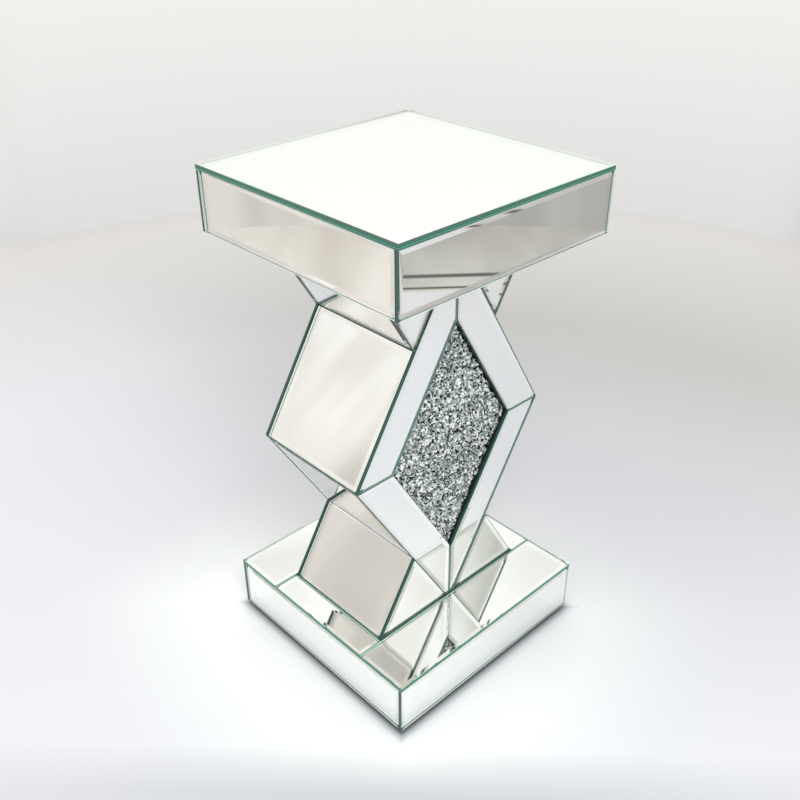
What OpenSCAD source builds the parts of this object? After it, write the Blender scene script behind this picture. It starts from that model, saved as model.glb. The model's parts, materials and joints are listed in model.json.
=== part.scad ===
// Mirror-clad pedestal table: square top slab, rhombus column with four wedge feet,
// square base, crushed-crystal inlay in a rhombus frame on both broad faces.
// Millimetres. X right, Y back, Z up; the floor is z = 0, the column axis is x = y = 0.

/* [Overall] */
// Side of the square top and base
side = 300; // [240:1:400]
// Height from the floor to the top mirror
height = 600; // [540:1:700]
// Height of the rubber feet
foot_h = 6; // [4:1:12]
// Height of the base block
base_h = 70; // [60:1:90]
// Height of the top block
slab_h = 73; // [60:1:90]

/* [Column] */
// Depth of the column, front to back
col_d = 160; // [120:1:220]
// Half width of the rhombus
rh_w = 143.5; // [120:0.5:145]
// Half height of the rhombus, its tips hidden in the blocks
rh_h = 236; // [232:1:260]
// Height of the waist, from the middle to where a wedge meets the rhombus
waist = 136; // [110:1:160]
// Width of the mirror strips around the inlay, with the side glass
strip_w = 44; // [30:0.5:60]

/* [Glass] */
// Thickness of the big top mirror
top_t = 6; // [4:0.5:8]
// Thickness of the other mirrors
glass_t = 5; // [3:0.5:6]
// Width of the ground bevel
bevel_w = 5; // [3:0.5:15]
// Depth of the ground bevel at the edge
bevel_t = 0.7; // [0.4:0.1:1.5]

/* [Boards] */
// Thickness of the fibre boards
board_t = 9; // [6:1:15]
// Thickness of the rails inside the blocks
rail_t = 12; // [9:1:18]
// Thickness of the plates that take the bolts
plate_t = 15; // [12:1:22]
// Side of the square corner blocks
block_w = 34; // [25:1:50]
// Glue line between boards that butt or meet on a mitre
glue = 0.2; // [0.1:0.1:0.5]

/* [Inlay] */
// Thickness of the crystal bed
crystal_t = 7; // [4:0.5:8]
// Thickness of the backing panel
backer_t = 3; // [2:0.5:6]
// Overlap of the backing panel behind the opening
backer_lap = 12; // [6:1:20]

/* [Fasteners] */
// Bolt shank diameter
bolt_d = 6; // [4:1:8]
// Flanged bolt head diameter
bolt_head = 13; // [10:1:18]
// Bolt length under the head
bolt_l = 22; // [16:1:24]
// Threaded insert outer diameter
insert_d = 9; // [8:0.5:12]
// Bolt spacing from the middle, across
bolt_x = 60; // [40:1:75]
// Bolt spacing from the middle, front to back
bolt_y = 38; // [20:1:55]

/* [Feet] */
// Foot diameter
foot_d = 30; // [20:1:40]
// Foot distance from the middle
foot_x = 124; // [100:1:130]
// Screw shank diameter
screw_d = 4; // [3:0.5:5]

/* [Hidden] */
$fn = 48;
hs = side / 2;
z0 = foot_h;                    // underside of the base
z_deck = foot_h + base_h - glass_t; // the column stands on the base deck
z_base = foot_h + base_h;       // base top mirror
z_slab = height - slab_h;       // underside of the top block
zc = (z_base + z_slab) / 2;     // middle of the rhombus
run = rh_w / rh_h;              // every column side has this slope
ang = atan2(rh_h, rh_w);        // and this angle
shift = 1 / sin(ang);           // sideways shift for a unit offset
kink = rh_w - waist * run;      // x where a wedge meets the rhombus
eps = 0.3;                      // room around loose fits
yf = col_d / 2;                 // broad face of the glass
yb = yf - glass_t;              // broad face of the frame board
yi = yb - board_t;              // inside of the frame board
inner = hs - glass_t;           // blocks behind their side mirrors
bevel_a = atan2(bevel_t, bevel_w);
z_bolt = [z_deck, z_slab];      // where the column is bolted
out_w = rh_w - strip_w * shift; // inlay opening
out_h = out_w / run;
touch = bevel_t * run - glue / 2; // side mirrors run on at the waist until their bevels meet
foot_cut = glass_t * cos(ang);  // height of the outer corner of a wedge mirror over the deck

silver = [0.86, 0.89, 0.89];
fibre = [0.72, 0.6, 0.45];
black = [0.1, 0.1, 0.1];
steel = [0.62, 0.63, 0.65];

// ---- shared shapes ----

// A flat mirror w x h on z 0..glass_t, ground at all four edges of its outer face.
module bevelled(w, h) {
  difference() {
    translate([-w / 2, -h / 2, 0]) cube([w, h, glass_t]);
    for (s = [0, 180]) {
      rotate([0, 0, s]) translate([w / 2, 0, glass_t - bevel_t]) rotate([0, bevel_a, 0])
        translate([-3 * bevel_w, -h, 0]) cube([6 * bevel_w, 2 * h, 3 * glass_t]);
      rotate([0, 0, s]) translate([0, h / 2, glass_t - bevel_t]) rotate([-bevel_a, 0, 0])
        translate([-w, -3 * bevel_w, 0]) cube([2 * w, 6 * bevel_w, 3 * glass_t]);
    }
  }
}

// Upright mirror on one side of a block; q turns it about z, front is 0.
// Front and back run the full width and cover the ends of the other two.
module side_mirror(z1, z2, q) {
  rotate([0, 0, q]) translate([0, -inner, (z1 + z2) / 2]) rotate([90, 0, 0])
    bevelled(q % 180 == 0 ? side : 2 * inner, z2 - z1);
}

// Flat mirror of the base top from (x1, y1) to (x2, y2).
module base_mirror(x1, y1, x2, y2) {
  color(silver) translate([(x1 + x2) / 2, (y1 + y2) / 2, z_deck]) bevelled(x2 - x1, y2 - y1);
}

// Half width of the column at height z, moved in by d square to its sides.
// tip = true follows the rhombus on to its tip, tip = false follows the wedge.
function reach(z, d, tip) = let (h = abs(z - zc))
  ((tip || h <= waist) ? rh_w - h * run : kink + (h - waist) * run) - d * shift;

// Outline of the broad face, moved in by d.
module face_outline(d) {
  zs = [z_deck, zc - waist, zc, zc + waist, z_slab];
  polygon(concat([for (z = zs) [reach(z, d, false), z]],
                 [for (i = [4:-1:0]) [-reach(zs[i], d, false), zs[i]]]));
}

// Rhombus moved in by d.
module rhombus(d) {
  w = rh_w - d * shift;
  polygon([[w, zc], [0, zc + w / run], [-w, zc], [0, zc - w / run]]);
}

// Right-hand outline to (x, y, z), from y1 to y2.
module plate(y1, y2) {
  translate([0, y2, 0]) rotate([90, 0, 0]) linear_extrude(height = y2 - y1) children();
}

// Mirror on the front face, its outline given clockwise and ground along every side.
module tile(outline) {
  n = len(outline);
  color(silver) difference() {
    plate(-yf, -yb) polygon(outline);
    for (i = [0:n - 1]) let (p = outline[i], r = outline[(i + 1) % n])
      translate([p[0], -yf + bevel_t, p[1]]) rotate([0, -atan2(r[1] - p[1], r[0] - p[0]), 0])
        rotate([-bevel_a, 0, 0]) translate([-side, -3 * glass_t, -side])
          cube([3 * side, 3 * glass_t, 2 * side]);
  }
}

// Copy to the left or right and to the front or back.
module place(left, back) {
  mirror([left ? 1 : 0, 0, 0]) mirror([0, back ? 1 : 0, 0]) children();
}

// ---- mirrors of the column ----

// Side mirror of the rhombus or of a wedge, right-hand side, between the front and back mirrors.
// It starts at (x, z), and runs a length l in the direction q from the X axis.
module col_mirror(x, z, q, l, flip) {
  translate([x, 0, z]) rotate([0, -q, 0]) translate([l / 2, 0, 0])
    rotate([flip ? 180 : 0, 0, 0]) translate([0, 0, -glass_t]) bevelled(l, 2 * (yb - glue));
}

module diamond_mirror(up) {
  start = up ? 0 : glass_t * sin(2 * ang) + glue;  // the lower mirror tucks in under the upper one
  l = waist / sin(ang) - start + touch;
  s = up ? 1 : -1;
  col_mirror(rh_w - start * cos(ang), zc + s * start * sin(ang), s * (180 - ang), l, up);
}

module wedge_mirror(up) {
  s = up ? 1 : -1;
  drop = up ? z_slab - zc - waist : zc - waist - z_deck;
  l = (drop - foot_cut) / sin(ang) + touch;
  col_mirror(kink - touch * cos(ang), zc + s * (waist - touch * sin(ang)), s * ang, l, up);
}

// Where the column runs into the block above or below, as a height from zc.
function block_at(up) = up ? z_slab - zc : zc - z_deck;

// Points of the right-hand upper piece at their height, or turned over for the lower one.
function upright(pts, up) = let (n = len(pts))
  [for (i = [0:n - 1]) let (p = pts[up ? i : n - 1 - i]) [p[0], zc + (up ? p[1] : -p[1])]];

module strip(up) {
  h = block_at(up);
  tile(upright([[0, out_h], [0, h], [rh_w - h * run, h], [rh_w, 0], [out_w, 0]], up));
}

// The lower one is cut upright at the foot, where the base mirror meets the column.
module wedge_face(up) {
  h = block_at(up);
  cut = up ? 0 : foot_cut;
  x = kink + (h - cut - waist) * run;
  tile(upright(concat([[rh_w - h * run + glue, h]], up ? [] : [[x, h]], [[x, h - cut],
    [kink + glue / 2, waist + glue / 2 / run]]), up));
}

// ---- boards ----

module frame_board() {
  color(black) plate(-yb, -yi) difference() { face_outline(glass_t); rhombus(strip_w); }
}

// Sloping board behind the side mirrors, z1 to z2, right-hand side.
module side_board(z1, z2, tip) {
  d1 = glass_t;
  d2 = glass_t + board_t;
  plate(-yi, yi) polygon([[reach(z1, d2, tip), z1], [reach(z1, d1, tip), z1],
                          [reach(z2, d1, tip), z2], [reach(z2, d2, tip), z2]]);
}

module bolt_places(i) {
  for (x = [-bolt_x, bolt_x], y = [-bolt_y, bolt_y]) translate([x, y, z_bolt[i]]) children();
}

module end_plate(i) {
  z1 = i == 0 ? z_deck : z_slab - plate_t;
  d = glass_t + board_t;
  color(fibre) difference() {
    plate(-yi, yi) polygon([[reach(z1, d, false), z1], [reach(z1 + plate_t, d, false), z1 + plate_t],
      [-reach(z1 + plate_t, d, false), z1 + plate_t], [-reach(z1, d, false), z1]]);
    bolt_places(i) translate([0, 0, -plate_t - 1]) cylinder(d = insert_d, h = 2 * plate_t + 2);
  }
}

// Square board of a block between z1 and z2.
module block_board(z1, z2) {
  translate([-inner, -inner, z1]) cube([2 * inner, 2 * inner, z2 - z1]);
}

// Four rails in a ring: front and back run full length, the sides butt between them.
module rails(z1, z2) {
  for (q = [0, 180]) rotate([0, 0, q]) {
    translate([-inner, -inner, z1]) cube([2 * inner, rail_t, z2 - z1]);
    translate([inner - rail_t, -inner + rail_t + glue, z1])
      cube([rail_t, 2 * (inner - rail_t - glue), z2 - z1]);
  }
}

module corners() {
  for (x = [0, 1], y = [0, 1]) mirror([x, 0, 0]) mirror([0, y, 0]) children();
}

module corner_blocks(z1, z2) {
  e = inner - rail_t - block_w;
  corners() translate([e, e, z1]) cube([block_w, block_w, z2 - z1]);
}

module bolt_holes(i, z) {
  bolt_places(i) translate([0, 0, z]) cylinder(d = bolt_d + 1, h = 2 * board_t);
}

// ---- sub-parts ----

module top_mirror() { color(silver) translate([-hs, -hs, height - top_t]) cube([side, side, top_t]); }
module top_side_mirror(q) { color(silver) side_mirror(z_slab, height - top_t, q); }
module top_side_mirror_front() { top_side_mirror(0); }
module top_side_mirror_right() { top_side_mirror(90); }
module top_side_mirror_back() { top_side_mirror(180); }
module top_side_mirror_left() { top_side_mirror(270); }
module top_deck_board() { color(fibre) block_board(height - top_t - board_t, height - top_t); }
module top_rails() { color(fibre) rails(z_slab + board_t, height - top_t - board_t); }
module top_corner_blocks() { color(fibre) corner_blocks(z_slab + board_t, height - top_t - board_t); }
module top_under_board() {
  color(black) difference() { block_board(z_slab, z_slab + board_t); bolt_holes(1, -board_t / 2); }
}

module base_mirror_front() { base_mirror(-hs, -hs, hs, -yf); }
module base_mirror_back() { mirror([0, 1, 0]) base_mirror_front(); }
module base_mirror_right() {
  base_mirror(reach(z_deck + foot_cut, 0, false) + eps, -yf, hs, yf);
}
module base_mirror_left() { mirror([1, 0, 0]) base_mirror_right(); }
module base_side_mirror(q) { color(silver) side_mirror(z0, z_deck, q); }
module base_side_mirror_front() { base_side_mirror(0); }
module base_side_mirror_right() { base_side_mirror(90); }
module base_side_mirror_back() { base_side_mirror(180); }
module base_side_mirror_left() { base_side_mirror(270); }
module base_deck_board() {
  color(fibre) difference() { block_board(z_deck - board_t, z_deck); bolt_holes(0, -1.5 * board_t); }
}
module base_rails() { color(fibre) rails(z0 + board_t, z_deck - board_t); }
module base_under_board() {
  color(black) difference() { block_board(z0, z0 + board_t); screw_holes(); }
}
module base_corner_blocks() {
  color(fibre) difference() { corner_blocks(z0 + board_t, z_deck - board_t); screw_holes(); }
}

module screw_holes() {
  corners() translate([foot_x, foot_x, -1]) cylinder(d = screw_d + 0.2, h = z0 + 2 * board_t + 3);
}
module foot_pads() {
  color(black) corners() translate([foot_x, foot_x, 0]) difference() {
    cylinder(d = foot_d, h = foot_h);
    translate([0, 0, -1]) cylinder(d = screw_d + 0.2, h = foot_h + 2);
    translate([0, 0, -1]) cylinder(d = 2 * screw_d + 1, h = foot_h / 2 + 1);
  }
}
module foot_screws() {
  color(steel) corners() translate([foot_x, foot_x, 0]) {
    translate([0, 0, foot_h / 2 - 2]) cylinder(d = 2 * screw_d, h = 2);
    translate([0, 0, foot_h / 2 - 1]) cylinder(d = screw_d, h = z0 / 2 + 2 * board_t);
  }
}

module diamond_mirror_upper_left() { color(silver) place(true, false) diamond_mirror(true); }
module diamond_mirror_upper_right() { color(silver) diamond_mirror(true); }
module diamond_mirror_lower_left() { color(silver) place(true, false) diamond_mirror(false); }
module diamond_mirror_lower_right() { color(silver) diamond_mirror(false); }
module wedge_mirror_upper_left() { color(silver) place(true, false) wedge_mirror(true); }
module wedge_mirror_upper_right() { color(silver) wedge_mirror(true); }
module wedge_mirror_lower_left() { color(silver) place(true, false) wedge_mirror(false); }
module wedge_mirror_lower_right() { color(silver) wedge_mirror(false); }

module front_strip_upper_left() { place(true, false) strip(true); }
module front_strip_upper_right() { strip(true); }
module front_strip_lower_left() { place(true, false) strip(false); }
module front_strip_lower_right() { strip(false); }
module back_strip_upper_left() { place(true, true) strip(true); }
module back_strip_upper_right() { place(false, true) strip(true); }
module back_strip_lower_left() { place(true, true) strip(false); }
module back_strip_lower_right() { place(false, true) strip(false); }

module front_wedge_upper_left() { place(true, false) wedge_face(true); }
module front_wedge_upper_right() { wedge_face(true); }
module front_wedge_lower_left() { place(true, false) wedge_face(false); }
module front_wedge_lower_right() { wedge_face(false); }
module back_wedge_upper_left() { place(true, true) wedge_face(true); }
module back_wedge_upper_right() { place(false, true) wedge_face(true); }
module back_wedge_lower_left() { place(true, true) wedge_face(false); }
module back_wedge_lower_right() { place(false, true) wedge_face(false); }

module front_frame_board() { frame_board(); }
module back_frame_board() { place(false, true) frame_board(); }
module diamond_side_boards() {
  color(fibre) for (left = [false, true]) place(left, false) {
    side_board(zc + glue / 2, zc + waist - glue, true);
    side_board(zc - waist + glue, zc - glue / 2, true);
  }
}
module wedge_side_boards() {
  color(fibre) for (left = [false, true]) place(left, false) {
    side_board(zc + waist, z_slab, false);
    side_board(z_deck, zc - waist, false);
  }
}
module column_top_plate() { end_plate(1); }
module column_bottom_plate() { end_plate(0); }

module crystals() {
  color([0.8, 0.84, 0.85]) plate(-yi - crystal_t, -yi) rhombus(strip_w + eps);
}
module front_crystals() { crystals(); }
module back_crystals() { place(false, true) crystals(); }
module backer() { color(black) plate(-yi, -yi + backer_t) rhombus(strip_w - backer_lap); }
module front_backer() { backer(); }
module back_backer() { place(false, true) backer(); }

module column_bolts() {
  color(steel) for (i = [0, 1]) bolt_places(i) mirror([0, 0, i]) translate([0, 0, -board_t]) {
    cylinder(d = bolt_d, h = bolt_l);
    translate([0, 0, -5]) cylinder(d = bolt_head, h = 5);
  }
}
module threaded_inserts() {
  color([0.75, 0.6, 0.3]) for (i = [0, 1]) bolt_places(i) mirror([0, 0, i]) difference() {
    cylinder(d = insert_d, h = plate_t - 1);
    translate([0, 0, -1]) cylinder(d = bolt_d + 0.2, h = plate_t + 2);
  }
}

top_mirror();
top_side_mirror_front();
top_side_mirror_back();
top_side_mirror_left();
top_side_mirror_right();
top_deck_board();
top_rails();
top_under_board();
top_corner_blocks();
base_mirror_front();
base_mirror_back();
base_mirror_left();
base_mirror_right();
base_side_mirror_front();
base_side_mirror_back();
base_side_mirror_left();
base_side_mirror_right();
base_deck_board();
base_rails();
base_under_board();
base_corner_blocks();
foot_pads();
foot_screws();
diamond_mirror_upper_left();
diamond_mirror_upper_right();
diamond_mirror_lower_left();
diamond_mirror_lower_right();
wedge_mirror_upper_left();
wedge_mirror_upper_right();
wedge_mirror_lower_left();
wedge_mirror_lower_right();
front_strip_upper_left();
front_strip_upper_right();
front_strip_lower_left();
front_strip_lower_right();
back_strip_upper_left();
back_strip_upper_right();
back_strip_lower_left();
back_strip_lower_right();
front_wedge_upper_left();
front_wedge_upper_right();
front_wedge_lower_left();
front_wedge_lower_right();
back_wedge_upper_left();
back_wedge_upper_right();
back_wedge_lower_left();
back_wedge_lower_right();
front_frame_board();
back_frame_board();
diamond_side_boards();
wedge_side_boards();
column_top_plate();
column_bottom_plate();
front_crystals();
back_crystals();
front_backer();
back_backer();
column_bolts();
threaded_inserts();
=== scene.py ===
"""Looks of the mirrored pedestal table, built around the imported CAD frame."""

import json
import math
import random

import bmesh
import bpy
import numpy as np
from mathutils import Euler, Matrix, Vector


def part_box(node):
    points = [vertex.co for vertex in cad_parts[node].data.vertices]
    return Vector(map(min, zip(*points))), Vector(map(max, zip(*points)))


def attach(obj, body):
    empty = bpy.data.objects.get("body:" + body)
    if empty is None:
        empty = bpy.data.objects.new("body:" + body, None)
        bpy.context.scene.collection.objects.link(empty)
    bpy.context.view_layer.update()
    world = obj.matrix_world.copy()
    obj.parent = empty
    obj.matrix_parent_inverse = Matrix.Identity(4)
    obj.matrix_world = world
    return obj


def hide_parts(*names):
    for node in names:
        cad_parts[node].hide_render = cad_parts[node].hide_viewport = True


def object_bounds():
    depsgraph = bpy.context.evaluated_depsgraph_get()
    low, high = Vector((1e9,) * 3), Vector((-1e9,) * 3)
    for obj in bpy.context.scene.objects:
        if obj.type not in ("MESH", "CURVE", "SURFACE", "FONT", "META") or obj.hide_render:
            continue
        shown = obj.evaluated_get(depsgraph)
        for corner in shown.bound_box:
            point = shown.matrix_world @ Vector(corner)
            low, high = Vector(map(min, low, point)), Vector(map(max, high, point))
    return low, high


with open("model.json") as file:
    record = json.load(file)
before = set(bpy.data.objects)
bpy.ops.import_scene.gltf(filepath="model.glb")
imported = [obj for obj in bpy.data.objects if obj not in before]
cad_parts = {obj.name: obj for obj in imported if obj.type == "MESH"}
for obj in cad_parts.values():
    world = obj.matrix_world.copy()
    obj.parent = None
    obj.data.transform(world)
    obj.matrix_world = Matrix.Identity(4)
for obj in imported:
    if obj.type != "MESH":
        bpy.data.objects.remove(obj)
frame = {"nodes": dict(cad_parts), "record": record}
cad_box = [list(corner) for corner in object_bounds()]
NODES = frame["nodes"]
SLOT = {s["node"]: s["material_slot"] for s in frame["record"]["subparts"]}
MM = 0.001
HALF = cad_box[1][0]  # half the width of the two blocks

# ---- camera: from the front left, looking down on the top ----

LENS, SENSOR = 42.2, 36  # mm
AZIMUTH, ELEVATION, ROLL = -43.29, 31.56, -0.366  # degrees
CAMERA_AT = (-0.6395, -0.6705, 0.8905)


def make_camera():
    """Stands at CAMERA_AT and looks back along the direction that AZIMUTH and ELEVATION give."""
    a, e, r = (math.radians(v) for v in (AZIMUTH, ELEVATION, ROLL))
    back = Vector((math.sin(a) * math.cos(e), -math.cos(a) * math.cos(e), math.sin(e)))
    x = Vector((0, 0, 1)).cross(back).normalized()
    y = back.cross(x)
    x, y = math.cos(r) * x + math.sin(r) * y, -math.sin(r) * x + math.cos(r) * y
    cam = bpy.data.objects.new("camera", bpy.data.cameras.new("camera"))
    cam.data.lens, cam.data.sensor_width = LENS, SENSOR
    cam.matrix_world = Matrix.Translation(CAMERA_AT) @ Matrix((x, y, back)).transposed().to_4x4()
    bpy.context.collection.objects.link(cam)
    bpy.context.scene.camera = cam


make_camera()

# ---- material helpers ----


class Nodes:
    """A material's node tree with one Principled shader, and short calls to build on it."""

    def __init__(self, name, **sockets):
        self.material = bpy.data.materials.new(name)
        self.material.use_nodes = True
        self.tree = self.material.node_tree
        self.shader = self.tree.nodes["Principled BSDF"]
        for key, value in sockets.items():
            self.shader.inputs[key.replace("_", " ")].default_value = value
        self.place = self.tree.nodes.new("ShaderNodeTexCoord").outputs["Object"]

    def node(self, kind, **settings):
        n = self.tree.nodes.new("ShaderNode" + kind)
        for key, value in settings.items():
            setattr(n, key, value)
        return n

    def feed(self, socket, value):
        """Links a socket to an output, or sets it to a number or an (r, g, b) colour."""
        if isinstance(value, bpy.types.NodeSocket):
            self.tree.links.new(value, socket)
        else:
            socket.default_value = (*value, 1) if socket.type == "RGBA" else value

    def axes(self):
        """The x, y and z of the point."""
        n = self.node("SeparateXYZ")
        self.feed(n.inputs[0], self.place)
        return n.outputs["X"], n.outputs["Y"], n.outputs["Z"]

    def along(self, degrees):
        """How far out the point is in a level direction, given as its turn from x towards y."""
        x, y, _ = self.axes()
        a = math.radians(degrees)
        by_x = self.maths("MULTIPLY", x, math.cos(a))
        by_y = self.maths("MULTIPLY", y, math.sin(a))
        return self.maths("ADD", by_x, by_y)

    def backfacing(self):
        """1 where the surface is seen from inside the solid."""
        return self.node("NewGeometry").outputs["Backfacing"]

    def noise(self, scale, detail=3.0, rough=0.5, stretch=(1, 1, 1), at=None):
        m = self.node("Mapping")
        self.feed(m.inputs["Vector"], at or self.place)
        m.inputs["Scale"].default_value = stretch
        n = self.node("TexNoise")
        self.feed(n.inputs["Vector"], m.outputs[0])
        n.inputs["Scale"].default_value = scale
        n.inputs["Detail"].default_value = detail
        n.inputs["Roughness"].default_value = rough
        return n.outputs["Fac"]

    def ramp(self, value, *stops):
        n = self.node("ValToRGB")
        self.feed(n.inputs[0], value)
        points = n.color_ramp.elements
        while len(points) < len(stops):
            points.new(1.0)
        for point, (at, colour) in zip(points, stops):
            point.position = at
            point.color = (*colour, 1)
        return n.outputs["Color"]

    def mix(self, factor, a, b, kind="MIX"):
        n = self.node("Mix", data_type="RGBA", blend_type=kind)
        self.feed(n.inputs[0], factor)
        self.feed(n.inputs[6], a)
        self.feed(n.inputs[7], b)
        return n.outputs[2]

    def tinted(self, base, tint, where=1.0):
        """The base colour times a tint, where the mask is 1."""
        return self.mix(where, base, self.mix(1.0, base, tint, "MULTIPLY"))

    def maths(self, operation, a, b=0.0):
        n = self.node("Math", operation=operation)
        self.feed(n.inputs[0], a)
        self.feed(n.inputs[1], b)
        return n.outputs[0]

    def span(self, value, low, high, to_low=0.0, to_high=1.0):
        """Runs from to_low to to_high as the value runs from low to high, and stays there outside."""
        n = self.node("MapRange")
        self.feed(n.inputs[0], value)
        for i, v in enumerate((low, high, to_low, to_high)):
            n.inputs[i + 1].default_value = v
        return n.outputs[0]

    def area(self, *limits):
        """1 where the point is inside all of the given spans, 0 outside any of them."""
        value = self.span(*limits[0])
        for limit in limits[1:]:
            value = self.maths("MULTIPLY", value, self.span(*limit))
        return value

    def colour(self, value):
        self.feed(self.shader.inputs["Base Color"], value)

    def roughness(self, value):
        self.feed(self.shader.inputs["Roughness"], value)

    def bump(self, height, strength, distance):
        n = self.node("Bump")
        self.feed(n.inputs["Height"], height)
        n.inputs["Strength"].default_value = strength
        n.inputs["Distance"].default_value = distance
        self.feed(self.shader.inputs["Normal"], n.outputs[0])


# ---- materials ----


def glass_front():
    """The clear face of a mirror: float glass with a few faint smears."""
    m = Nodes("glass_face", IOR=1.52, Transmission_Weight=1.0, Roughness=0.0)
    smear = m.span(m.noise(9.0, 4.0, 0.6), 0.35, 0.75)
    m.colour(m.mix(smear, (0.985, 0.998, 0.992), (0.972, 0.992, 0.984)))
    return m.material


def silvering():
    """The silvered back seen through the glass, with a little uneven tone."""
    m = Nodes("silvering", Metallic=1.0, Roughness=0.0)
    cloud = m.span(m.noise(5.0, 2.0, 0.5), 0.3, 0.7)
    m.colour(m.mix(cloud, (0.965, 0.97, 0.96), (0.945, 0.95, 0.942)))
    return m.material


def glass_edge(name, inside, shine, *stops):
    """The cut edge of the glass. Its stops run from the face to the silvering, as streaks along it.

    From inside the glass the edge has the colour given as inside, and it mirrors if shine is 1.
    """
    m = Nodes(name, IOR=1.5, Roughness=0.3, Specular_IOR_Level=0.3)
    depth = m.node("Attribute", attribute_name="depth").outputs["Fac"]
    wander = m.span(m.noise(14.0, 3.0, 0.5), 0.3, 0.7, -0.07, 0.07)
    streaks = m.ramp(m.maths("ADD", depth, wander), *stops)
    marks = m.noise(900.0, 2.0, 0.6)
    green = m.mix(m.span(marks, 0.4, 0.8, 0.0, 0.12), streaks, (0.2, 0.45, 0.36))
    back = m.backfacing()
    m.colour(m.mix(back, green, inside))
    m.feed(m.shader.inputs["Metallic"], m.maths("MULTIPLY", back, shine))
    m.roughness(m.mix(back, m.span(marks, 0.3, 0.7, 0.18, 0.42), (0.12, 0.12, 0.12)))
    return m.material


def glass_arris(name, *stops):
    """The small ground chamfer along the glass, with painted light and shade. Its stops run from the front
    left corner outwards, darker there and lighter further back.
    """
    m = Nodes(name, IOR=1.5, Roughness=0.35)
    grain = m.noise(1500.0, 2.0, 0.6)
    x, y, _ = m.axes()
    # painted light and shade: the chamfer grows lighter away from the front left corner
    away = m.span(m.maths("ADD", x, y), -0.25, 0.05)
    tone = m.mix(m.span(grain, 0.3, 0.7, 0.0, 0.25), m.ramp(away, *stops), (0.16, 0.36, 0.28))
    m.colour(m.mix(m.backfacing(), tone, (0.2, 0.62, 0.44)))
    m.roughness(m.span(grain, 0.3, 0.7, 0.3, 0.5))
    return m.material


def fibreboard():
    """Raw brown board: short fibres, with darker clouds."""
    m = Nodes("fibreboard", IOR=1.45, Roughness=0.85)
    fibres = m.noise(420.0, 6.0, 0.7)
    clouds = m.noise(14.0, 3.0, 0.5)
    tone = m.ramp(
        fibres,
        (0.25, (0.27, 0.17, 0.095)),
        (0.55, (0.42, 0.29, 0.17)),
        (0.8, (0.55, 0.41, 0.27)),
    )
    m.colour(m.mix(m.span(clouds, 0.3, 0.7, 0.0, 0.3), tone, (0.34, 0.22, 0.12)))
    m.bump(fibres, 0.3, 0.0003)
    return m.material


def black_paint(name, roughness):
    """Flat black paint with the grain of the board under it."""
    m = Nodes(name, IOR=1.45, Roughness=roughness)
    grain = m.noise(260.0, 5.0, 0.65)
    m.colour(m.ramp(grain, (0.3, (0.006, 0.006, 0.007)), (0.75, (0.018, 0.018, 0.019))))
    m.roughness(m.span(grain, 0.3, 0.7, roughness - 0.12, roughness + 0.12))
    m.bump(grain, 0.25, 0.0003)
    return m.material


def rubber():
    """Dark moulded rubber with a fine skin."""
    m = Nodes("foot_rubber", IOR=1.5, Roughness=0.75)
    grain = m.noise(700.0, 4.0, 0.6)
    m.colour(m.ramp(grain, (0.3, (0.014, 0.014, 0.015)), (0.75, (0.035, 0.035, 0.036))))
    m.bump(grain, 0.3, 0.0002)
    return m.material


def metal(name, dark, light, scale):
    """Clouded bare metal, between a dark and a light tone."""
    m = Nodes(name, Metallic=1.0, Roughness=0.35)
    cloud = m.noise(scale, 4.0, 0.6)
    m.colour(m.ramp(cloud, (0.3, dark), (0.7, light)))
    m.roughness(m.span(cloud, 0.3, 0.7, 0.28, 0.48))
    m.bump(m.noise(scale * 4, 3.0, 0.6), 0.1, 0.0001)
    return m.material


def chip(name, dark, light, metallic, roughness):
    """One tone of crushed glass: its own shade from chip to chip, clearer and duller facets."""
    m = Nodes(name, IOR=1.52, Metallic=metallic, Roughness=roughness)
    island = m.node("NewGeometry").outputs["Random Per Island"]
    shade = m.ramp(island, (0.0, dark), (1.0, light))
    m.colour(m.mix(m.span(m.noise(500.0, 3.0, 0.6), 0.35, 0.65, 0.0, 0.5), shade, dark))
    m.roughness(m.span(m.noise(350.0, 2.0, 0.5), 0.3, 0.7, roughness * 0.6, roughness * 1.6))
    return m.material


GLASS, SILVER = glass_front(), silvering()

# The chamfers of the top block have a painted highlight away from the front corner; the others stay green,
# only a little lighter away from it.
ARRIS_TOP = glass_arris(
    "glass_arris",
    (0.0, (0.05, 0.085, 0.075)),
    (0.55, (0.3, 0.55, 0.4)),
    (0.8, (0.78, 0.85, 0.81)),
    (1.0, (0.93, 0.95, 0.94)),
)
ARRIS_BASE = glass_arris("glass_arris_base", (0.0, (0.045, 0.17, 0.11)), (0.7, (0.1, 0.32, 0.21)))
ARRIS_COLUMN = glass_arris("glass_arris_column", (0.0, (0.015, 0.07, 0.05)), (1.0, (0.04, 0.13, 0.09)))

# Open edges and the seams of the base mirror the inside of the glass; in the other joints they are dark.
EDGE_TOP = glass_edge(
    "glass_edge_top",
    (0.9, 0.96, 0.93),
    1.0,
    (0.0, (0.025, 0.045, 0.037)),
    (0.14, (0.03, 0.075, 0.056)),
    (0.26, (0.075, 0.17, 0.13)),
    (0.44, (0.05, 0.14, 0.105)),
    (0.52, (0.014, 0.07, 0.052)),
    (0.62, (0.045, 0.2, 0.135)),
    (0.84, (0.08, 0.27, 0.18)),
    (0.98, (0.02, 0.09, 0.065)),
)
EDGE_BASE = glass_edge(
    "glass_edge_base",
    (0.9, 0.96, 0.93),
    1.0,
    (0.0, (0.04, 0.15, 0.095)),
    (0.35, (0.055, 0.22, 0.135)),
    (0.7, (0.1, 0.29, 0.19)),
    (1.0, (0.04, 0.14, 0.095)),
)
TEAL = (
    (0.0, (0.006, 0.028, 0.02)),
    (0.3, (0.01, 0.055, 0.04)),
    (0.55, (0.035, 0.13, 0.095)),
    (0.75, (0.01, 0.05, 0.036)),
    (1.0, (0.005, 0.024, 0.018)),
)
EDGE_SIDE = glass_edge("glass_edge_end", (0.86, 0.93, 0.9), 1.0, *TEAL)
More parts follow.
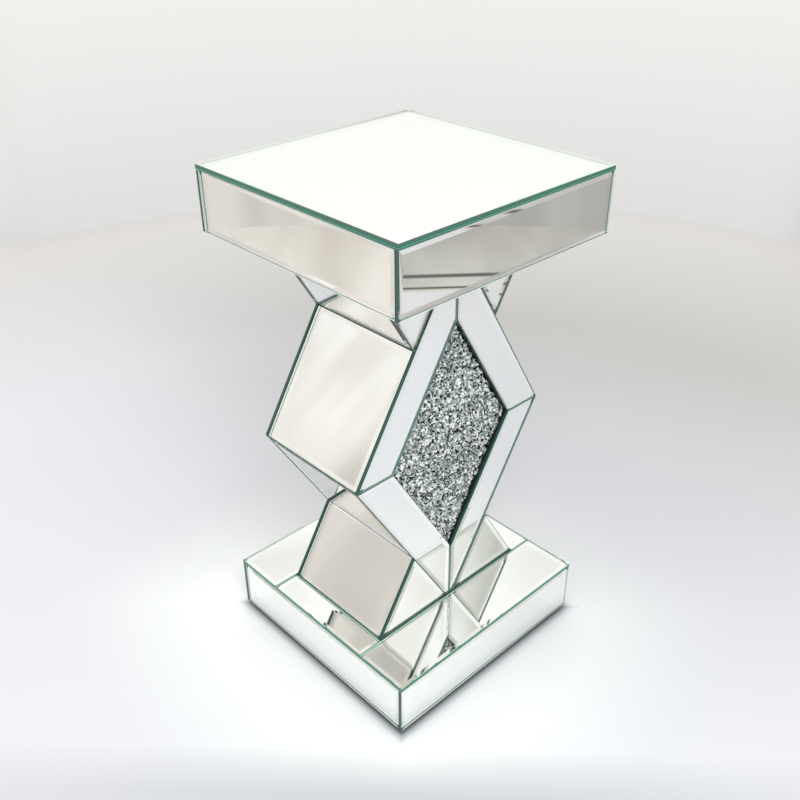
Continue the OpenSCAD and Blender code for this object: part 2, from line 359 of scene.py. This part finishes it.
EDGE_JOINT = glass_edge("glass_edge_joint", (0.06, 0.32, 0.22), 0.0, *TEAL)
EDGE_SEAM = glass_edge(
    "glass_edge_seam",
    (0.5, 0.84, 0.68),
    1.0,
    (0.0, (0.2, 0.66, 0.47)),
    (0.6, (0.08, 0.38, 0.26)),
    (1.0, (0.03, 0.2, 0.14)),
)

# Crushed glass from white to dark, and how often each tone comes.
CHIPS = [
    chip("chip_white", (0.80, 0.84, 0.84), (1.0, 1.0, 1.0), 0.0, 0.2),
    chip("chip_silver", (0.55, 0.61, 0.6), (0.8, 0.85, 0.84), 0.1, 0.2),
    chip("chip_grey", (0.34, 0.4, 0.39), (0.54, 0.6, 0.59), 0.1, 0.3),
    chip("chip_smoke", (0.23, 0.29, 0.28), (0.4, 0.46, 0.45), 0.1, 0.3),
    chip("chip_dark", (0.11, 0.16, 0.148), (0.22, 0.28, 0.265), 0.1, 0.3),
]
CHIP_SHARE = (0.3, 0.2, 0.26, 0.18, 0.06)

PLAIN = {
    "fibreboard": fibreboard(),
    "black_board": black_paint("black_board", 0.5),
    "black_panel": black_paint("black_panel", 0.6),
    "foot_rubber": rubber(),
    "zinc_steel": metal("zinc_steel", (0.42, 0.42, 0.40), (0.62, 0.63, 0.61), 160.0),
    "insert_brass": metal("insert_brass", (0.48, 0.34, 0.13), (0.7, 0.53, 0.24), 160.0),
}

# ---- CAD nodes that stay ----

for name, obj in NODES.items():
    if SLOT[name] in PLAIN:
        obj.data.materials.clear()
        obj.data.materials.append(PLAIN[SLOT[name]])

# ---- mirrors: glass over silvering, with green edges and a ground arris ----

GAP = 0.08 * MM  # keeps touching sheets of glass apart
BLOCK_GRIND, COLUMN_GRIND = 0.5 * MM, 0.45 * MM  # width of the ground chamfer
FACE_LEAN = 0.3  # a side this much in line with the face or the back belongs to it, as a bevel does
FACE, BACK, OPEN_EDGE, ARRIS, BUTTED_EDGE = range(5)  # material slots of a mirror
SIDES = {"front": (0, -1, 0), "back": (0, 1, 0), "left": (-1, 0, 0), "right": (1, 0, 0)}


def faces_out(name):
    """The way the seen face of a mirror looks, roughly."""
    if name == "top_mirror" or name.startswith("base_mirror"):
        return Vector((0, 0, 1))
    words = name.split("_")
    return Vector(SIDES[words[0] if words[0] in SIDES else words[-1]])


def shrink(bm, by):
    """Moves every face of a closed convex mesh in by the same amount."""
    moved = []
    for v in bm.verts:
        normals = np.array([f.normal for f in v.link_faces])
        moved.append((v, np.linalg.lstsq(normals, np.full(len(normals), -by), rcond=1e-4)[0]))
    for v, step in moved:
        v.co += Vector(step)


def shows(name, edge):
    """Whether a cut edge of a mirror is bare; the others butt against a neighbour."""
    if name.startswith("base_mirror"):
        at = edge.calc_center_median()
        return max(abs(at.x), abs(at.y)) > HALF - 1 * MM
    if name.startswith(("diamond", "wedge")):
        return abs(edge.normal.y) > 0.9
    return not name.startswith(("front", "back"))


def slot_of(name, face, out):
    """The material slot of one side of a mirror whose seen face looks along out."""
    lean = face.normal.dot(out)
    if abs(lean) > FACE_LEAN:
        return FACE if lean > 0 else BACK
    return OPEN_EDGE if shows(name, face) else BUTTED_EDGE


def is_rim(edge):
    """Whether a line of the mesh is ground: not inside the face, and not at the silvering."""
    slots = {f.material_index for f in edge.link_faces}
    return BACK not in slots and slots != {FACE}


def mirror_materials(name):
    """A mirror's materials, in the order of its slots."""
    if name.startswith("base_mirror"):
        return GLASS, SILVER, EDGE_BASE, ARRIS_BASE, EDGE_SEAM
    edge = EDGE_TOP if name == "top_mirror" else EDGE_SIDE
    arris = {"base": ARRIS_BASE, "top": ARRIS_TOP}.get(name.split("_")[0], ARRIS_COLUMN)
    return GLASS, SILVER, edge, arris, EDGE_JOINT


def mirror_piece(name):
    """Replaces a CAD mirror with the same solid, ground along its rim and silvered on its back."""
    bm = bmesh.new()
    bm.from_mesh(NODES[name].data)
    bmesh.ops.remove_doubles(bm, verts=bm.verts, dist=1e-6)
    bmesh.ops.dissolve_limit(bm, angle_limit=math.radians(0.5), verts=bm.verts, edges=bm.edges)
    bm.normal_update()
    shrink(bm, GAP)
    flat = sorted(bm.faces, key=lambda f: -f.calc_area())[:2]
    out = max(flat, key=lambda f: f.normal.dot(faces_out(name))).normal.copy()
    for f in bm.faces:
        f.material_index = slot_of(name, f, out)
    width = BLOCK_GRIND if name.startswith(("top_", "base_")) else COLUMN_GRIND
    rim = [e for e in bm.edges if is_rim(e)]
    made = bmesh.ops.bevel(bm, geom=rim, offset=width, segments=1, affect="EDGES", profile=0.5)
    for f in made["faces"]:
        f.material_index = ARRIS
    deep = bm.verts.layers.float.new("depth")
    outer = max(v.co.dot(out) for v in bm.verts)
    thick = outer - min(v.co.dot(out) for v in bm.verts)
    for v in bm.verts:
        v[deep] = (outer - v.co.dot(out)) / thick
    mesh = bpy.data.meshes.new(name + "_glass")
    bm.to_mesh(mesh)
    bm.free()
    for material in mirror_materials(name):
        mesh.materials.append(material)
    piece = bpy.data.objects.new(name + "_glass", mesh)
    bpy.context.collection.objects.link(piece)
    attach(piece, "root")
    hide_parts(name)


for name in sorted(NODES):
    if SLOT[name] == "mirror_glass":
        mirror_piece(name)

# ---- crystal inlays: beds of crushed glass ----

rng = random.Random(7)
PITCH = 2.9 * MM  # from chip to chip
STRAY = 0.4  # how far a chip strays from its place, in pitches
CHIP_SIZES = (1.8 * MM, 2.2 * MM, 2.6 * MM, 3.0 * MM)  # half the length of a chip
SIZE_SPREAD = (0.9, 1.18)
MARGIN = 0.2  # how far a chip keeps from the sides of the bed, in its own size
BURIED = 0.42  # how deep the middle of a chip may be, as a share of the bed


def shard():
    """One splinter: the convex hull of a few points in a squashed ball, as (points, triangles)."""
    bm = bmesh.new()
    for _ in range(rng.choice((6, 7, 8))):
        d = Vector([rng.gauss(0, 1) for _ in range(3)]).normalized()
        bm.verts.new((d.x, d.y * rng.uniform(0.55, 0.85), d.z))
    bmesh.ops.convex_hull(bm, input=bm.verts)
    bmesh.ops.delete(bm, geom=[v for v in bm.verts if not v.link_faces], context="VERTS")
    bmesh.ops.recalc_face_normals(bm, faces=bm.faces)
    bm.verts.index_update()
    points = np.array([v.co for v in bm.verts])
    faces = [[v.index for v in f.verts] for f in bm.faces]
    bm.free()
    return points, faces


SHARDS = [shard() for _ in range(40)]


def scatter(half):
    """Chips in staggered rows over a box with the given half sides: x and z from its middle, and size."""
    for i in range(int(half.z * 2 / PITCH) + 1):
        z = -half.z + i * PITCH
        for j in range(int(half.x * 2 / PITCH) + 1):
            x = -half.x + (j + (i % 2) / 2) * PITCH
            px, pz = x + rng.uniform(-STRAY, STRAY) * PITCH, z + rng.uniform(-STRAY, STRAY) * PITCH
            yield px, pz, rng.choice(CHIP_SIZES) * rng.uniform(*SIZE_SPREAD)


def crystal_bed(name):
    """Replaces a CAD inlay with a bed of shards, pressed in where they would leave its rhombus."""
    lo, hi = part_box(name)
    middle, half = (lo + hi) / 2, (hi - lo) / 2
    outer, inner = (lo.y, hi.y) if name.startswith("front") else (hi.y, lo.y)
    slope = Vector((half.z, half.x)).normalized()  # unit normal of the rhombus sides
    reach = half.x * slope.x  # from the middle to a side
    points, faces, tones, count = [], [], [], 0
    for px, pz, size in scatter(half):
        if abs(px) * slope.x + abs(pz) * slope.y > reach - MARGIN * size:
            continue
        y = outer + (inner - outer) * rng.uniform(0.0, BURIED)
        co, tris = rng.choice(SHARDS)
        turn = Euler((rng.uniform(0, 6.3), rng.uniform(0, 6.3), rng.uniform(0, 6.3))).to_matrix()
        co = co @ np.array(turn).T * size + np.array((middle.x + px, y, middle.z + pz))
        co[:, 1] = co[:, 1].clip(lo.y, hi.y)
        across = co[:, (0, 2)] - (middle.x, middle.z)
        over = np.maximum(np.abs(across) @ np.array(slope) / reach, 1.0)
        co[:, (0, 2)] = across / over[:, None] + (middle.x, middle.z)
        faces += [[count + k for k in t] for t in tris]
        tones += [rng.choices(range(len(CHIPS)), CHIP_SHARE)[0]] * len(tris)
        points.append(co)
        count += len(co)
    mesh = bpy.data.meshes.new(name + "_chips")
    mesh.from_pydata(np.concatenate(points).tolist(), [], faces)
    for material in CHIPS:
        mesh.materials.append(material)
    mesh.polygons.foreach_set("material_index", tones)
    mesh.update()
    piece = bpy.data.objects.new(name + "_chips", mesh)
    bpy.context.collection.objects.link(piece)
    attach(piece, "root")
    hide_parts(name)


for name in ("front_crystals", "back_crystals"):
    crystal_bed(name)

# ---- studio: pale floor in a soft round tent ----

FLOOR_R, TENT_R, TENT_H = 1.62, 1.6, 1.9
STEPS, RINGS = 96, 20
BULGE = 0.55  # the lower, the longer the wall of the tent stays upright


def add_stage(name, bm, material):
    """Makes a finished mesh part of the studio."""
    mesh = bpy.data.meshes.new(name)
    bm.to_mesh(mesh)
    bm.free()
    mesh.materials.append(material)
    obj = bpy.data.objects.new(name, mesh)
    bpy.context.collection.objects.link(obj)


def floor_mesh():
    """A flat round sheet."""
    bm = bmesh.new()
    bmesh.ops.create_circle(bm, cap_ends=True, radius=FLOOR_R, segments=STEPS)
    return bm


def tent_mesh():
    """A wall that closes in a dome overhead, so that every mirror has something soft to show."""
    bm = bmesh.new()
    loops = []
    for i in range(RINGS):
        t = i / RINGS * math.pi / 2
        r, z = TENT_R * math.cos(t) ** BULGE, TENT_H * math.sin(t)
        turns = [2 * math.pi * k / STEPS for k in range(STEPS)]
        loops.append([bm.verts.new((r * math.cos(a), r * math.sin(a), z)) for a in turns])
    crown = bm.verts.new((0, 0, TENT_H))
    for low, high in zip(loops, loops[1:]):
        for k in range(STEPS):
            n = (k + 1) % STEPS
            bm.faces.new((low[k], low[n], high[n], high[k]))
    for k in range(STEPS):
        bm.faces.new((loops[-1][k], loops[-1][(k + 1) % STEPS], crown))
    for f in bm.faces:
        f.smooth = True
    return bm


# Level directions, in degrees from x towards y.
LEFT_LOOK, RIGHT_LOOK = 131, -50  # where the side mirrors look, and how the floor is creased there
WARM_SIDE, WARM_RUN = 138, 233.13  # where the warm part of the tent is, and the way its folds are spaced


def floor_material():
    """A pale floor with painted light and shade: a painted pool of light round the base, painted shade
    under it, and painted creases far out, where only mirrors look.
    """
    m = Nodes("floor", IOR=1.45, Roughness=0.5)
    x, y, _ = m.axes()
    length = m.node("VectorMath", operation="LENGTH")
    m.feed(length.inputs[0], m.place)
    dist = length.outputs["Value"]
    rim = m.maths("SUBTRACT", m.maths("MAXIMUM", m.maths("ABSOLUTE", x), m.maths("ABSOLUTE", y)), HALF)

    def painted_creases(direction, scale):
        """Soft noise, drawn out in one direction, as the painted light and shade of creases."""
        spread = m.node("CombineXYZ")
        m.feed(spread.inputs[0], m.maths("MULTIPLY", m.along(direction), 0.3))
        m.feed(spread.inputs[1], m.along(direction - 90))
        return m.span(m.noise(scale, 2.0, 0.5, at=spread.outputs[0]), 0.38, 0.62)

    # round the base: a painted pool of light at its sides, with painted shade to the right and a painted
    # shadow at the front corner
    near = m.mix(m.span(rim, 0.03, 0.22), (0.985, 1.0, 1.0), (0.78, 0.79, 0.83))
    near = m.mix(m.span(dist, 0.25, 0.5), near, (0.755, 0.76, 0.805))
    near = m.mix(m.span(m.along(20), -0.1, 0.42), near, (0.6, 0.605, 0.645))
    near = m.mix(m.span(m.along(-135), 0.23, 0.29), near, (0.6, 0.61, 0.645))

    # further out: cool, with painted shade to the right, darkest at the back on that side
    wide = m.mix(m.span(m.along(20), 0.1, 0.7), (0.78, 0.78, 0.84), (0.66, 0.66, 0.68))
    wide = m.mix(m.area((m.along(60), -0.2, 0.5), (x, 0.1, 0.65)), wide, (0.55, 0.545, 0.54))
    tone = m.mix(m.span(dist, 0.35, 0.85), near, wide)
    tone = m.mix(m.span(dist, 0.9, 1.5), tone, (0.8, 0.78, 0.775))

    # beige for the left mirrors, with painted crease shade and one long fold of painted shade
    left = m.mix(painted_creases(LEFT_LOOK, 7.0), (0.8, 0.755, 0.715), (0.89, 0.85, 0.81))
    # painted shade along the fold
    off_fold = m.maths("ABSOLUTE", m.maths("ADD", m.along(LEFT_LOOK - 90), 0.1))
    left = m.tinted(left, (0.8, 0.785, 0.765), m.span(off_fold, 0.015, 0.1, 1.0, 0.0))
    tone = m.mix(m.span(m.along(LEFT_LOOK), 1.06, 1.12), tone, left)

    # darker for the right mirrors, with painted crease shade and two lines of painted shadow across
    right = m.mix(painted_creases(RIGHT_LOOK, 5.0), (0.56, 0.54, 0.505), (0.7, 0.675, 0.635))
    far = m.along(RIGHT_LOOK)
    # painted shadow lines at the edge of the cloth
    for at, width in ((1.225, 0.008), (1.29, 0.014)):
        off_line = m.maths("ABSOLUTE", m.maths("SUBTRACT", far, at))
        right = m.mix(m.span(off_line, width * 0.4, width), (0.12, 0.115, 0.11), right)
    tone = m.mix(m.span(far, 1.2, 1.215), tone, right)

    # contact shade under the base
    shade = m.ramp(
        m.span(rim, -0.02, 0.02),
        (0.0, (0.12, 0.125, 0.13)),
        (0.45, (0.22, 0.24, 0.25)),
        (0.55, (0.52, 0.54, 0.56)),
        (0.7, (0.88, 0.89, 0.91)),
        (0.9, (1.0, 1.0, 1.0)),
    )
    m.colour(m.tinted(tone, shade))
    m.bump(m.noise(40.0, 3.0), 0.05, 0.001)
    return m.material


def tent_material():
    """Glowing cloth: warm where the left mirrors look, cool where the right ones look, pale elsewhere."""
    m = Nodes("tent")
    m.tree.nodes.remove(m.shader)
    x, y, z = m.axes()
    height = m.span(z, 0.0, 1.6)
    side = m.maths("SUBTRACT", x, y)
    aside = m.maths("ABSOLUTE", side)

    # pale: the backdrop, brighter overhead where the top mirror looks
    pale = m.ramp(
        height,
        (0.0, (0.74, 0.735, 0.73)),
        (0.12, (0.79, 0.785, 0.775)),
        (0.33, (0.87, 0.87, 0.85)),
        (0.58, (1.08, 1.08, 1.04)),
        (0.71, (1.08, 1.08, 1.04)),
        (0.76, (0.9, 0.91, 0.86)),
        (0.86, (1.0, 1.0, 0.95)),
        (0.93, (1.14, 1.14, 1.11)),
    )
    pale = m.mix(m.area((aside, 0.25, 0.5, 1.0, 0.0), (height, 0.66, 0.7)), pale, (1.1, 1.1, 1.06))

    # warm: one pleat with a painted highlight, two folds of painted shade and two duller patches low down
    warm = m.ramp(
        height,
        (0.0, (1.05, 1.0, 0.94)),
        (0.07, (1.05, 1.0, 0.94)),
        (0.12, (0.8, 0.76, 0.72)),
        (0.25, (0.79, 0.75, 0.71)),
        (0.35, (0.9, 0.865, 0.82)),
        (0.42, (0.99, 0.955, 0.91)),
        (0.6, (1.01, 0.985, 0.94)),
        (1.0, (1.08, 1.08, 1.05)),
    )
    across = m.along(WARM_RUN)
    # painted highlight along the pleat
    warm = m.tinted(warm, (1.09, 1.09, 1.09), m.span(m.maths("ABSOLUTE", across), 0.01, 0.04, 1.0, 0.0))
    # painted shade in the two folds
    fold = m.area((across, 0.02, 0.06), (height, 0.26, 0.33), (height, 0.39, 0.44, 1.0, 0.0))
    warm = m.tinted(warm, (0.86, 0.86, 0.86), fold)
    fold = m.area((across, -0.27, -0.18, 1.0, 0.0), (height, 0.35, 0.42))
    warm = m.tinted(warm, (0.87, 0.86, 0.85), fold)
    patch = m.area((height, 0.05, 0.2, 1.0, 0.0), (y, 0.75, 0.95, 1.0, 0.0))
    warm = m.mix(patch, warm, (0.56, 0.53, 0.48))
    patch = m.area((height, 0.08, 0.2, 1.0, 0.0), (y, 1.11, 1.2))
    warm = m.mix(patch, warm, (0.76, 0.725, 0.68))

    # cool: dark at the floor, tan high up towards the back
    cool = m.ramp(
        height,
        (0.0, (0.5, 0.49, 0.47)),
        (0.12, (0.5, 0.49, 0.47)),
        (0.25, (0.92, 0.93, 0.93)),
        (0.5, (1.02, 1.03, 1.02)),
        (1.0, (1.16, 1.16, 1.13)),
    )
    high = m.area((height, 0.5, 0.64), (m.maths("ADD", x, y), -0.06, 0.14))
    cool = m.mix(high, cool, (0.72, 0.725, 0.675))

    # warm lies in a plain flank on the left, cool on the right, and both sides have soft folds of painted
    # light and shade
    flank = m.ramp(height, (0.0, (0.8, 0.8, 0.78)), (0.12, (1.0, 1.0, 0.98)), (1.0, (1.1, 1.1, 1.08)))
    tone = m.mix(m.span(m.along(WARM_SIDE), 1.44, 1.53), flank, warm)
    tone = m.mix(m.span(side, -1.75, -1.35), tone, pale)
    tone = m.mix(m.span(side, 1.3, 1.6), tone, cool)
    # painted light and shade of soft folds
    folds = m.span(m.noise(6.5, 2.0, 0.5, stretch=(1, 1, 0.16)), 0.4, 0.62)
    dim = m.mix(folds, (1.02, 1.02, 1.02), (0.87, 0.85, 0.83))
    tone = m.tinted(tone, dim, m.span(aside, 1.2, 1.7))

    glow = m.node("Emission")
    m.feed(glow.inputs["Color"], tone)
    m.feed(m.tree.nodes["Material Output"].inputs["Surface"], glow.outputs[0])
    m.material.cycles.emission_sampling = "NONE"
    return m.material


add_stage("floor", floor_mesh(), floor_material())
add_stage("tent", tent_mesh(), tent_material())

# ---- light: the tent's own glow, a pale world outside it and one soft key ----

WORLD_TONE = (0.9, 0.9, 0.9)
KEY_AT, KEY_AIM = Vector((-0.6, -0.9, 1.5)), Vector((0, 0, 0.3))
KEY_SIZE, KEY_ENERGY, KEY_TONE = 0.6, 10.0, (0.92, 0.965, 1.0)

world = bpy.data.worlds.new("world")
bpy.context.scene.world = world
world.use_nodes = True
world.node_tree.nodes["Background"].inputs["Color"].default_value = (*WORLD_TONE, 1)

key = bpy.data.objects.new("key", bpy.data.lights.new("key", "AREA"))
key.data.size, key.data.energy, key.data.color = KEY_SIZE, KEY_ENERGY, KEY_TONE
key.location = KEY_AT
key.rotation_euler = (KEY_AIM - KEY_AT).to_track_quat("-Z", "Y").to_euler()
bpy.context.collection.objects.link(key)

bpy.context.scene.view_settings.view_transform = "Standard"
